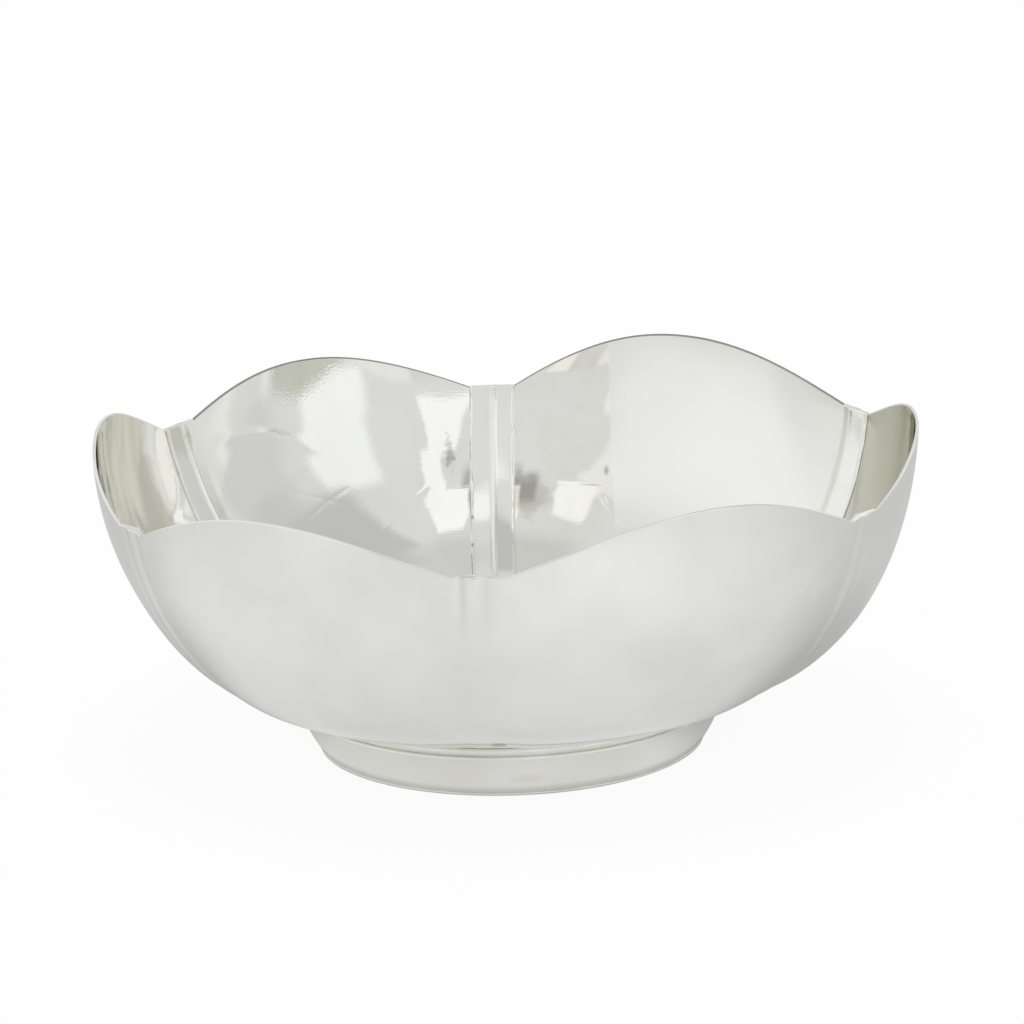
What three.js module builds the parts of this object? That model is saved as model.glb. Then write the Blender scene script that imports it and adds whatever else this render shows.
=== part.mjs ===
// Six-lobed silver bowl raised on a tapered foot ring.
// Millimetres, +Z up, origin at the centre of the plane the foot rests on.
// The front fold points towards -Y and azimuths run counter-clockwise from +X.
import * as THREE from 'three';

// Bowl wall, measured on the middle of the sheet
const SHEET = 1.0;
const RIM_RADIUS = 127.0;
const CREST_HEIGHT = 100.5;
const NOTCH_HEIGHT = 86.9;
const FLOOR_RADIUS = 62.3;
const FLOOR_HEIGHT = 18.9;
const LOW_REACH = 43.1;
const HIGH_REACH = 41.5;
const LEAN_IN_AT_RIM = 0.2;

// Each fold and each lobe was set by hand, so each has its own values.
// Folds: back right, back, back left, front left, front, front right
const FOLD_AZIMUTH = [25.0, 91.2, 147.7, 206.6, 266.5, 328.0];
const FOLD_TURN_AT_FLOOR = [-1.7, 2.1, -5.7, 0.6, -2.7, 0.0];
const FOLD_TOP_SHIFT = [3.1, -2.5, 1.1, -0.9, 0.2, -0.6];
const FOLD_NAMES = ['back_right', 'back', 'back_left', 'front_left', 'front', 'front_right'];
// Lobes: each starts at the fold of the same place in the list and ends at the next
const CREST_SHIFT = [1.8, -1.6, 2.4, -0.2, 1.7, 0.9];
const CREST_SKEW = [0.18, 0.06, -0.2, 0.0, 0.03, 0.19];
const CREST_FLARE = [4.0, 2.5, 0.0, 0.0, 0.3, 1.4];
const BELLY = [-2.5, 0.0, -3.0, 0.0, 0.6, 0.0];
const LOBE_NAMES = ['back_right', 'back_left', 'left', 'front_left', 'front_right', 'right'];
const FOLD_DEPTH = 1.4;
const FOLD_SHARPNESS = 3.8;
const FOLD_FADES_AT = 0.9;
const RIM_ROUNDNESS = 2.45;
const RIM_WAVE_SHARE = 0.36;

// Folded straps between the lobes: a low roof with a ridge inside, almost flush outside
const STRAP_TOP_WIDTH = 15.4;
const STRAP_FOOT_WIDTH = 14.8;
const STRAP_RELIEF = 2.4;
const STRAP_STEP = 0.45;
const STRAP_STEP_SHARE = 0.07;
const STRAP_OUTER_RELIEF = 0.45;
const STRAP_PROUD = 0.4;
const STRAP_FADES_BELOW = 0.12;

// Open seam left at every soldered edge, and the rest gap over the foot
const SEAM = 0.3;

// Foot: a thin wire, a band that flares up from it, and a moulding between the band and the bowl
const FOOT_RADIUS = 60.7;
const WIRE_WIDTH = 2.4;
const WIRE_HEIGHT = 0.9;
const WIRE_PROUD = 0.1;
const BAND_FLARE = 6.0;
const BAND_SWELL = 0.9;
const BAND_SHEET = 1.3;
const BEAD_WIDTH = 3.0;
const BEAD_HEIGHT = 2.0;
const BEAD_PROUD = 0.7;
const GROOVE_HEIGHT = 1.0;
const GROOVE_DEPTH = 0.9;
const NECK_HEIGHT = 1.1;
const NECK_DEPTH = 0.6;

// Facets
const LOBE_COLUMNS = 12;
const LOBE_ROWS = 10;
const STRAP_ROWS = 10;
const STRAP_STATIONS = [0, 0.06, 0.25, 0.5, 0.75, 0.93, 1];
const RING_FACETS = 72;

const RAD = Math.PI / 180;

const silver = (name, tint) => new THREE.MeshStandardMaterial({ name, color: tint, metalness: 1, roughness: 0.12 });
const SILVER_SHEET = silver('silver_sheet', 0xe4e4e0);
const SILVER_STRAP = silver('silver_strap', 0xe0e0da);
const SILVER_FOOT = silver('silver_foot', 0xdedcd2);

// Wall outline as one cubic curve from the floor's edge to the crest.
// Returns radius, height and the outward normal in the plane through the axis.
function wall(t) {
  const lean = (90 + LEAN_IN_AT_RIM) * RAD;
  const r = [FLOOR_RADIUS, FLOOR_RADIUS + LOW_REACH, RIM_RADIUS - HIGH_REACH * Math.cos(lean), RIM_RADIUS];
  const z = [FLOOR_HEIGHT, FLOOR_HEIGHT, CREST_HEIGHT - HIGH_REACH * Math.sin(lean), CREST_HEIGHT];
  const s = 1 - t;
  const at = (p) => s * s * s * p[0] + 3 * s * s * t * p[1] + 3 * s * t * t * p[2] + t * t * t * p[3];
  const slope = (p) => s * s * (p[1] - p[0]) + 2 * s * t * (p[2] - p[1]) + t * t * (p[3] - p[2]);
  const dr = slope(r);
  const dz = slope(z);
  const len = Math.hypot(dr, dz);
  return { r: at(r), z: at(z), nr: dz / len, nz: -dr / len };
}

// Place on the wall outline that stands at a given height
function wallAtHeight(height) {
  let low = 0.2;
  let high = 1.2;
  for (let i = 0; i < 40; i += 1) {
    const mid = (low + high) / 2;
    if (wall(mid).z < height) low = mid;
    else high = mid;
  }
  return (low + high) / 2;
}

// Height of the bowl's low wall, or of its floor, at a given radius
function heightAtRadius(radius) {
  let low = 0;
  let high = 0.5;
  for (let i = 0; i < 40; i += 1) {
    const mid = (low + high) / 2;
    if (wall(mid).r < radius) low = mid;
    else high = mid;
  }
  return wall(low).z;
}

// How far a fold sinks into the bowl, deepest half way up
function foldDepth(t) {
  return FOLD_DEPTH * Math.sin(Math.PI * Math.min(t / FOLD_FADES_AT, 1));
}

function strapWidth(t) {
  return STRAP_FOOT_WIDTH + (STRAP_TOP_WIDTH - STRAP_FOOT_WIDTH) * Math.min(t, 1);
}

const foldTop = (k) => NOTCH_HEIGHT + FOLD_TOP_SHIFT[k % 6];

// Azimuth of a fold, which turns a little on its way down to the floor
const foldAzimuth = (k, t) => FOLD_AZIMUTH[k % 6] + FOLD_TURN_AT_FLOOR[k % 6] * (1 - t);

// Rim height of lobe k, with u from -1 at its first fold to 1 at its last
function rimHeight(k, u) {
  const first = foldTop(k);
  const last = foldTop(k + 1);
  const base = first + (last - first) * (u + 1) / 2;
  const w = u - CREST_SKEW[k] * (1 - u * u);
  const arch = (1 - RIM_WAVE_SHARE) * (1 - Math.abs(w) ** RIM_ROUNDNESS)
    + RIM_WAVE_SHARE * (0.5 + 0.5 * Math.cos(Math.PI * w));
  return base + (CREST_HEIGHT + CREST_SHIFT[k] - base) * arch;
}

// Point on lobe k: u across, v up from the floor to the rim, side +1 outside, -1 inside
function lobePoint(k, u, v, side) {
  const t = wallAtHeight(rimHeight(k, u)) * v;
  const w = wall(t);
  const first = foldAzimuth(k, t);
  const last = foldAzimuth(k + 1, t) + (k === 5 ? 360 : 0);
  const margin = Math.asin((strapWidth(t) / 2 + SEAM) / (w.r - w.nr * foldDepth(t))) / RAD;
  const azimuth = ((first + last) / 2 + ((last - first) / 2 - margin) * u) * RAD;
  const sink = foldDepth(t) * Math.abs(u) ** FOLD_SHARPNESS;
  const flare = CREST_FLARE[k] * (1 - u * u) ** 2 * v ** 4;
  const belly = BELLY[k] * (1 - u * u) * Math.sin(Math.PI * v) ** 2;
  const shift = side * SHEET / 2 - sink + flare + belly;
  const r = w.r + w.nr * shift;
  return new THREE.Vector3(r * Math.cos(azimuth), r * Math.sin(azimuth), w.z + w.nz * shift);
}

// Point on strap k: q across from -1 to 1, v up, side +1 outside, -1 inside
function strapPoint(k, q, v, side) {
  const edge = Math.min((1 - Math.abs(q)) / STRAP_STEP_SHARE, 1);
  const inner = STRAP_STEP * edge + (STRAP_RELIEF - STRAP_STEP) * (1 - Math.abs(q));
  const outer = STRAP_OUTER_RELIEF * Math.sin(Math.PI * q) ** 2;
  const t = wallAtHeight(foldTop(k) + STRAP_PROUD * edge) * v;
  const w = wall(t);
  const across = q * strapWidth(t) / 2;
  const rise = Math.min(t / STRAP_FADES_BELOW, 1);
  const shift = side * SHEET / 2 - foldDepth(t) - (side > 0 ? outer : inner) * rise;
  const along = Math.sqrt(w.r * w.r - across * across) + w.nr * shift;
  const a = foldAzimuth(k, t) * RAD;
  return new THREE.Vector3(
    along * Math.cos(a) - across * Math.sin(a),
    along * Math.sin(a) + across * Math.cos(a),
    w.z + w.nz * shift,
  );
}

// Closed sheet from an outer and an inner grid of points, rows going up
function sheet(point, columns, rows) {
  const across = columns.length;
  const up = rows.length;
  const position = [];
  for (const side of [1, -1]) {
    for (const v of rows) for (const u of columns) position.push(...point(u, v, side).toArray());
  }
  const at = (side, j, i) => side * across * up + j * across + i;
  const index = [];
  const quad = (a, b, c, d) => index.push(a, b, c, a, c, d);
  for (let j = 0; j < up - 1; j += 1) {
    for (let i = 0; i < across - 1; i += 1) {
      quad(at(0, j, i), at(0, j, i + 1), at(0, j + 1, i + 1), at(0, j + 1, i));
      quad(at(1, j, i), at(1, j + 1, i), at(1, j + 1, i + 1), at(1, j, i + 1));
    }
  }
  for (let i = 0; i < across - 1; i += 1) {
    quad(at(0, 0, i), at(1, 0, i), at(1, 0, i + 1), at(0, 0, i + 1));
    quad(at(0, up - 1, i), at(0, up - 1, i + 1), at(1, up - 1, i + 1), at(1, up - 1, i));
  }
  for (let j = 0; j < up - 1; j += 1) {
    quad(at(0, j, 0), at(0, j + 1, 0), at(1, j + 1, 0), at(1, j, 0));
    quad(at(0, j, across - 1), at(1, j, across - 1), at(1, j + 1, across - 1), at(0, j + 1, across - 1));
  }
  const geometry = new THREE.BufferGeometry();
  geometry.setAttribute('position', new THREE.Float32BufferAttribute(position, 3));
  geometry.setIndex(index);
  geometry.computeVertexNormals();
  return geometry;
}

// Ring or disc turned about the axis from a closed outline of radius and height
function turned(outline) {
  const geometry = new THREE.LatheGeometry(outline.map(([r, z]) => new THREE.Vector2(r, z)), RING_FACETS);
  geometry.rotateX(Math.PI / 2);
  return geometry;
}

// Radii and heights of the foot, from its own radius and the bowl's underside above it
const bandFootRadius = FOOT_RADIUS - WIRE_PROUD;
const bandTopRadius = bandFootRadius + BAND_FLARE;
const beadOuterRadius = bandTopRadius + BEAD_PROUD;
const beadInnerRadius = beadOuterRadius - BEAD_WIDTH;
const neckTopHeight = heightAtRadius(beadInnerRadius) - SHEET / 2 - SEAM;
const beadTopHeight = neckTopHeight - NECK_HEIGHT;
const grooveTopHeight = beadTopHeight - BEAD_HEIGHT;
const bandTopHeight = grooveTopHeight - GROOVE_HEIGHT;

// Outline of the tapered band: a slightly swelled outer face over a plain inner one
function bandOutline() {
  const outer = [];
  const steps = 5;
  for (let i = 0; i <= steps; i += 1) {
    const f = i / steps;
    outer.push([
      bandFootRadius + BAND_FLARE * f + BAND_SWELL * Math.sin(Math.PI * f),
      WIRE_HEIGHT + (bandTopHeight - WIRE_HEIGHT) * f,
    ]);
  }
  const inner = [
    [bandTopRadius - BAND_SHEET, bandTopHeight],
    [bandFootRadius - BAND_SHEET, WIRE_HEIGHT],
  ];
  return [...outer, ...inner, outer[0]];
}

// Outline of the moulding: a groove over the band, a round bead, and a neck under the bowl
function beadOutline() {
  const grooveRadius = bandTopRadius - GROOVE_DEPTH;
  const neckRadius = bandTopRadius - NECK_DEPTH;
  const half = BEAD_HEIGHT / 2;
  const centre = beadOuterRadius - half;
  const outer = [[grooveRadius, bandTopHeight], [grooveRadius, grooveTopHeight]];
  for (let i = 0; i <= 4; i += 1) {
    const a = (i / 4 - 0.5) * Math.PI;
    outer.push([centre + half * Math.cos(a), grooveTopHeight + half + half * Math.sin(a)]);
  }
  outer.push([neckRadius, beadTopHeight], [neckRadius, neckTopHeight]);
  return [...outer, [beadInnerRadius, neckTopHeight], [beadInnerRadius, bandTopHeight], outer[0]];
}

function wireOutline() {
  const inner = FOOT_RADIUS - WIRE_WIDTH;
  return [[FOOT_RADIUS, 0], [FOOT_RADIUS, WIRE_HEIGHT], [inner, WIRE_HEIGHT], [inner, 0], [FOOT_RADIUS, 0]];
}

function floorOutline() {
  const edge = FLOOR_RADIUS - SEAM;
  const low = FLOOR_HEIGHT - SHEET / 2;
  const high = FLOOR_HEIGHT + SHEET / 2;
  return [[0, low], [edge, low], [edge, high], [0, high]];
}

const bowl = new THREE.Group();
bowl.name = 'lobed_bowl';

function addPiece(name, geometry, material) {
  const mesh = new THREE.Mesh(geometry, material);
  mesh.name = name;
  bowl.add(mesh);
}

const lobeColumns = [];
for (let i = 0; i <= LOBE_COLUMNS; i += 1) {
  const x = 2 * i / LOBE_COLUMNS - 1;
  lobeColumns.push(0.55 * x + 0.45 * Math.sin(x * Math.PI / 2));
}
const evenRows = (count) => Array.from({ length: count + 1 }, (_, i) => i / count);
const strapColumns = [...STRAP_STATIONS.slice(1).reverse().map((q) => -q), ...STRAP_STATIONS];

for (let k = 0; k < 6; k += 1) {
  const lobe = sheet((u, v, side) => lobePoint(k, u, v, side), lobeColumns, evenRows(LOBE_ROWS));
  addPiece(`lobe_${LOBE_NAMES[k]}`, lobe, SILVER_SHEET);
}
for (let k = 0; k < 6; k += 1) {
  const strap = sheet((q, v, side) => strapPoint(k, q, v, side), strapColumns, evenRows(STRAP_ROWS));
  addPiece(`strap_${FOLD_NAMES[k]}`, strap, SILVER_STRAP);
}
addPiece('floor_disc', turned(floorOutline()), SILVER_SHEET);
addPiece('foot_bead', turned(beadOutline()), SILVER_FOOT);
addPiece('foot_band', turned(bandOutline()), SILVER_FOOT);
addPiece('foot_wire', turned(wireOutline()), SILVER_FOOT);

export default bowl;
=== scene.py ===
"""Six-lobed silver bowl on a tapered foot ring, dressed for the studio.

The bowl is raised from thin sheet silver: six petal lobes, six folded straps
soldered between them, a flat floor, and a foot made of a bead, a flared band
and a thin wire. Sizes are in millimetres and become metres in the meshes.
"""
from __future__ import annotations

import itertools
import logging
import math
from dataclasses import dataclass, replace
from enum import Enum
from typing import Any, Callable, Sequence

import bpy
import numpy as np
from mathutils import Matrix, Vector

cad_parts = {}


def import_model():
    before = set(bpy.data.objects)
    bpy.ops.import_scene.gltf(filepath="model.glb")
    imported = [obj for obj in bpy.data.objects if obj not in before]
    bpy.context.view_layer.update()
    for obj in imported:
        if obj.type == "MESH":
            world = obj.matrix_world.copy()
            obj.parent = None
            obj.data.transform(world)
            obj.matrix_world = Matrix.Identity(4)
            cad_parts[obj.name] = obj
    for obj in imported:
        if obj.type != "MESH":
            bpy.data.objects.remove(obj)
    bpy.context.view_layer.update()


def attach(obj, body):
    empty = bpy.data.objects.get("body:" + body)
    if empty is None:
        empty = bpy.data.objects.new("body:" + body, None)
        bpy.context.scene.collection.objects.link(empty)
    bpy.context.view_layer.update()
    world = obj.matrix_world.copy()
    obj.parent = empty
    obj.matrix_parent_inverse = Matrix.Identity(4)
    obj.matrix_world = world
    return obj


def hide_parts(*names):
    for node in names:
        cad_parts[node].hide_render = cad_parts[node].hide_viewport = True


MM = 0.001
LATTICE_CELLS = 32  # the rolling noise repeats after so many cells
LATTICE_START = 64.37  # keeps places positive and off the lattice's own points
EDGE_STATIONS = 5  # stations on the turn of a rounded edge
BESIDE_EDGE = (1.25, 1.9)  # stations beside it, in radii of the turn
log = logging.getLogger("bowl")
Array = np.ndarray
Piece = bpy.types.Object
Socket = bpy.types.NodeSocket
Pair = tuple[float, float]
Triple = tuple[float, float, float]
Row = tuple[float, ...]


class Fold(Enum):
    """The six folds, in the order of their azimuths."""

    BACK_RIGHT = 0
    BACK = 1
    BACK_LEFT = 2
    FRONT_LEFT = 3
    FRONT = 4
    FRONT_RIGHT = 5


class Lobe(Enum):
    """The six lobes. Each runs from the fold of its own number to the next."""

    BACK_RIGHT = 0
    BACK_LEFT = 1
    LEFT = 2
    FRONT_LEFT = 3
    FRONT_RIGHT = 4
    RIGHT = 5


class Side(Enum):
    """The faces of a sheet that have a finish of their own, as material slots.

    The edge is the top of a lobe, along the rim.
    """

    OUTSIDE = 0
    INSIDE = 1
    EDGE = 2


def linear(code: str) -> tuple[float, float, float, float]:
    """Turns an sRGB colour of six hex digits into linear light, with an alpha of 1."""
    parts = [int(code[i:i + 2], 16) / 255 for i in (0, 2, 4)]
    light = [p / 12.92 if p <= 0.04045 else ((p + 0.055) / 1.055) ** 2.4 for p in parts]
    return light[0], light[1], light[2], 1.0


class Shading:
    """A node tree that starts empty, with a short way to add each usual node."""

    def __init__(self, owner: bpy.types.Material | bpy.types.World) -> None:
        """Empties the owner's node tree."""
        owner.use_nodes = True
        self.tree = owner.node_tree
        self.tree.nodes.clear()

    def add(self, kind: str, inputs: dict[Any, Any] | None = None,
            **settings: Any) -> bpy.types.Node:
        """Adds one node with its settings, values and links.

        Args:
            kind: the node's type name after ShaderNode.
            inputs: values or output sockets, by input name or number.
            settings: attributes of the node.

        Returns:
            The new node.
        """
        node = self.tree.nodes.new(f"ShaderNode{kind}")
        for name, value in settings.items():
            setattr(node, name, value)
        for key, value in (inputs or {}).items():
            if isinstance(value, Socket):
                self.tree.links.new(value, node.inputs[key])
            else:
                node.inputs[key].default_value = value
        return node

    def maths(self, operation: str, *values: Any) -> Socket:
        """Result of reckoning with numbers."""
        return self.add("Math", dict(enumerate(values)), operation=operation).outputs["Value"]

    def vector(self, operation: str, *values: Any, out: str = "Vector") -> Socket:
        """Result of reckoning with vectors, which is a vector or a value."""
        return self.add("VectorMath", dict(enumerate(values)), operation=operation).outputs[out]

    def parts(self, vector: Socket) -> bpy.types.bpy_prop_collection:
        """The x, y and z of a vector."""
        return self.add("SeparateXYZ", {0: vector}).outputs

    def ramp(self, value: Socket, span: Sequence[Any], levels: Sequence[Any],
             kind: str = "SMOOTHSTEP") -> Socket:
        """Goes from one level to another while the value runs through a span."""
        return self.add("MapRange", {"Value": value, "From Min": span[0], "From Max": span[1],
                                     "To Min": levels[0], "To Max": levels[1]},
                        interpolation_type=kind).outputs["Result"]

    def blend(self, share: Any, one: Any, other: Any) -> Socket:
        """Two numbers mixed."""
        return self.add("Mix", {0: share, 2: one, 3: other}, data_type="FLOAT").outputs[0]

    def tint(self, share: Any, one: Any, other: Any) -> Socket:
        """Two colours mixed."""
        return self.add("Mix", {0: share, 6: one, 7: other}, data_type="RGBA").outputs[2]

    def noise(self, place: Socket, scale: float, detail: float,
              roughness: float = 0.5, out: str = "Fac") -> Socket:
        """Cloudy noise, as a number or a colour."""
        return self.add("TexNoise", {"Vector": place, "Scale": scale, "Detail": detail,
                                     "Roughness": roughness}).outputs[out]


def link_object(name: str, data: bpy.types.ID) -> Piece:
    """Makes an object of a mesh, lamp or camera and puts it in the scene."""
    made = bpy.data.objects.new(name, data)
    bpy.context.scene.collection.objects.link(made)
    return made


def mesh_object(name: str, points: Array, faces: list[list[int]]) -> Piece:
    """Makes a smoothly shaded object from vertices in millimetres and faces."""
    mesh = bpy.data.meshes.new(name)
    mesh.from_pydata((points * MM).tolist(), [], faces)
    mesh.polygons.foreach_set("use_smooth", np.ones(len(faces), bool))
    mesh.update()
    return link_object(name, mesh)


def around(radius: Array, azimuth: Array, height: Array, across: Any = 0.0) -> Array:
    """Points at a radius, azimuth and height, moved across, at right angles to the azimuth."""
    cos, sin = np.cos(azimuth), np.sin(azimuth)
    return np.stack([radius * cos - across * sin, radius * sin + across * cos, height], axis=-1)


def rolling_noise(points: Array, wavelength: float, seed: int) -> Array:
    """Smooth hills and hollows in space, between -1 and 1.

    Random heights stand on a cubic lattice, and between the eight around a
    point they are mixed by the fifth-power fade 6f^5 - 15f^4 + 10f^3.

    Args:
        points: places in millimetres, with x, y and z on the last axis.
        wavelength: the lattice's step in millimetres.
        seed: picks the heights.

    Returns:
        One height for each point.
    """
    heights = np.random.default_rng(seed).uniform(-1.0, 1.0, (LATTICE_CELLS,) * 3)
    cell = points / wavelength + LATTICE_START
    base = np.floor(cell).astype(int)
    part = cell - base
    fade = part ** 3 * (part * (part * 6 - 15) + 10)
    total = np.zeros(points.shape[:-1])
    for corner in itertools.product((0, 1), repeat=3):
        share = np.prod(np.where(np.array(corner) == 1, fade, 1 - fade), axis=-1)
        at = (base + np.array(corner)) % LATTICE_CELLS
        total += share * heights[at[..., 0], at[..., 1], at[..., 2]]
    return total


@dataclass(frozen=True)
class Waves:
    """Rolling hills and hollows of one size: depth and span in millimetres, and their seed."""

    depth: float
    span: float
    seed: int

    def offset(self, points: Array) -> Array:
        """Height at each point in millimetres."""
        return self.depth * rolling_noise(points, self.span, self.seed)


@dataclass(frozen=True)
class HandWork:
    """Unevenness that the raising hammer left."""

    broad: Waves = Waves(0.16, 46.0, 11)
    middling: Waves = Waves(0.064, 23.0, 23)
    blows: Waves = Waves(0.065, 15.0, 37)

    def offset(self, points: Array) -> Array:
        """Height over the ideal form: broad hollows plus the shallow flats of blows."""
        return self.broad.offset(points) + self.middling.offset(points) + self.blows.offset(points)


@dataclass(frozen=True)
class Crease:
    """A fine line where a lobe was pressed over the stake.

    Its ends are places on the lobe: across from -1 to 1, and up from 0 to 1.
    Bow, height and half width are in millimetres, and so is what the lobe's
    places across and up reach.
    """

    lobe: Lobe
    start: Pair
    end: Pair
    bow: float
    height: float
    half_width: float
    across_reach: float = 52.0
    up_reach: float = 122.0
    end_fade: float = 0.12

    def offset(self, u: Array, v: Array) -> Array:
        """Height of the line over the lobe.

        It is a bell curve, height times exp(-(d/w)^2), of the distance d from
        a parabola that bows out between the two ends, and it dies out there.

        Args:
            u: place across.
            v: place up.

        Returns:
            Millimetres.
        """
        reach = np.array([self.across_reach, self.up_reach])
        first, last = np.array(self.start) * reach, np.array(self.end) * reach
        length = np.hypot(*(last - first))
        along_way = (last - first) / length
        x, y = u * reach[0] - first[0], v * reach[1] - first[1]
        s = (x * along_way[0] + y * along_way[1]) / length
        d = y * along_way[0] - x * along_way[1] - self.bow * 4 * s * (1 - s)
        ends = np.clip(np.minimum(s, 1 - s) / self.end_fade, 0, 1)
        return self.height * np.exp(-(d / self.half_width) ** 2) * ends


@dataclass(frozen=True)
class BowlForm:
    """Curves of the raised bowl, measured on the middle of the sheet.

    Rows of six numbers follow the order of the folds or of the lobes.
    """

    sheet: float = 1.0
    rim_radius: float = 127.0
    crest_height: float = 100.5
    notch_height: float = 86.9
    floor_radius: float = 62.3
    floor_height: float = 18.9
    low_reach: float = 43.1
    high_reach: float = 41.5
    lean_in: float = 0.2
    fold_azimuth: Row = (25.0, 91.2, 147.7, 206.6, 266.5, 328.0)
    fold_turn: Row = (-1.7, 2.1, -5.7, 0.6, -2.7, 0.0)
    fold_top_shift: Row = (3.1, -2.5, 1.1, -0.9, 0.2, -0.6)
    crest_shift: Row = (1.8, -1.6, 2.4, -0.2, 1.7, 0.9)
    crest_skew: Row = (0.18, 0.06, -0.2, 0.0, 0.03, 0.19)
    crest_flare: Row = (4.0, 2.5, 0.0, 0.0, 0.3, 1.4)
    belly: Row = (-2.5, 0.0, -3.0, 0.0, 0.6, 0.0)
    fold_depth: float = 1.4
    fold_sharpness: float = 3.8
    fold_fades_at: float = 0.9
    rim_roundness: float = 2.45
    rim_wave_share: float = 0.36
    strap_top_width: float = 15.4
    strap_foot_width: float = 14.8
    search_span: Pair = (0.2, 1.2)
    halvings: int = 40
    hand: HandWork = HandWork()
    creases: tuple[Crease, ...] = (
        Crease(Lobe.BACK_LEFT, (-0.74, 0.66), (-0.05, 0.39), 0.0, -0.1, 0.45),
        Crease(Lobe.BACK_LEFT, (0.875, 0.9), (-0.255, 0.67), -2.5, 0.13, 2.2),
        *(Crease(Lobe.BACK_LEFT, start, end, 0.0, -0.045, 0.5) for start, end in (
            ((0.38, 0.65), (-0.08, 0.57)), ((0.34, 0.55), (-0.12, 0.63)),
            ((0.22, 0.69), (0.06, 0.50)))),
        Crease(Lobe.BACK_RIGHT, (0.50, 0.56), (0.21, 0.42), 2.2, -0.1, 0.45),
        Crease(Lobe.BACK_RIGHT, (0.80, 0.64), (0.52, 0.585), 0.0, 0.07, 0.45),
        Crease(Lobe.LEFT, (-0.985, 0.873), (-0.74, 0.69), -3.5, 0.2, 1.1),
    )

    def wall(self, t: Array) -> tuple[Array, Array, Array, Array]:
        """The wall's outline, one cubic curve from the floor's edge to the crest.

        With s = 1 - t, radius and height are each
        s^3 p0 + 3 s^2 t p1 + 3 s t^2 p2 + t^3 p3, and the outward normal is the
        curve's slope turned by a quarter.

        Args:
            t: place on the curve, 0 at the floor and 1 at the crest.

        Returns:
            Radius, height, and the normal's radial and upward parts.
        """
        lean = math.radians(90 + self.lean_in)
        r = (self.floor_radius, self.floor_radius + self.low_reach,
             self.rim_radius - self.high_reach * math.cos(lean), self.rim_radius)
        z = (self.floor_height, self.floor_height,
             self.crest_height - self.high_reach * math.sin(lean), self.crest_height)
        s = 1 - t

        def at(p: Sequence[float]) -> Array:
            """Cubic curve through its four controls."""
            return s ** 3 * p[0] + 3 * s * s * t * p[1] + 3 * s * t * t * p[2] + t ** 3 * p[3]

        def slope(p: Sequence[float]) -> Array:
            """A third of the cubic's slope."""
            return s * s * (p[1] - p[0]) + 2 * s * t * (p[2] - p[1]) + t * t * (p[3] - p[2])

        dr, dz = slope(r), slope(z)
        length = np.hypot(dr, dz)
        return at(r), at(z), dz / length, -dr / length

    def place_at(self, height: Array) -> Array:
        """Place on the wall's outline that stands at a height, by halving.

        Args:
            height: heights in millimetres.

        Returns:
            The curve's t at each height.
        """
        low, high = (np.full(np.shape(height), end) for end in self.search_span)
        for _ in range(self.halvings):
            mid = (low + high) / 2
            under = self.wall(mid)[1] < height
            low, high = np.where(under, mid, low), np.where(under, high, mid)
        return (low + high) / 2

    def sink(self, t: Array) -> Array:
        """How far a fold sinks into the bowl: a half sine, deepest half way up."""
        return self.fold_depth * np.sin(np.pi * np.minimum(t / self.fold_fades_at, 1))

    def strap_width(self, t: Array) -> Array:
        """Width of a strap, straight from its foot to its top."""
        wider = self.strap_top_width - self.strap_foot_width
        return self.strap_foot_width + wider * np.minimum(t, 1)

    def fold_top(self, k: int) -> float:
        """Height of the notch over fold k."""
        return self.notch_height + self.fold_top_shift[k % len(Fold)]

    def azimuth(self, k: int, t: Array) -> Array:
        """Azimuth of fold k in degrees, which turns a little on its way down.

        The fold after the last is the first again, one full turn on.
        """
        turns, k = divmod(k, len(Fold))
        return self.fold_azimuth[k] + self.fold_turn[k] * (1 - t) + 360 * turns

    def rim_height(self, k: int, u: Array) -> Array:
        """Height of lobe k's rim.

        A straight base between the two notches carries an arch that mixes
        1 - |w|^n with a cosine wave, where w is u pulled towards one side.

        Args:
            k: the lobe's number.
            u: place across the lobe, from -1 to 1.

        Returns:
            Heights in millimetres.
        """
        first, last = self.fold_top(k), self.fold_top(k + 1)
        base = first + (last - first) * (u + 1) / 2
        w = u - self.crest_skew[k] * (1 - u * u)
        arch = ((1 - self.rim_wave_share) * (1 - np.abs(w) ** self.rim_roundness)
                + self.rim_wave_share * (0.5 + 0.5 * np.cos(np.pi * w)))
        return base + (self.crest_height + self.crest_shift[k] - base) * arch

    def settle(self, azimuth: Array, w: tuple[Array, ...], shift: Array) -> Array:
        """Puts the wall outline at an azimuth, moved along its normal.

        The hammer's unevenness is read on the outline itself, so that both
        faces of a sheet and pieces that meet move alike.

        Args:
            azimuth: in radians.
            w: radius, height and normal from wall().
            shift: millimetres along the outward normal.

        Returns:
            Points in millimetres.
        """
        r, z, nr, nz = w
        shift = shift + self.hand.offset(around(r, azimuth, z))
        return around(r + nr * shift, azimuth, z + nz * shift)

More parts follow.
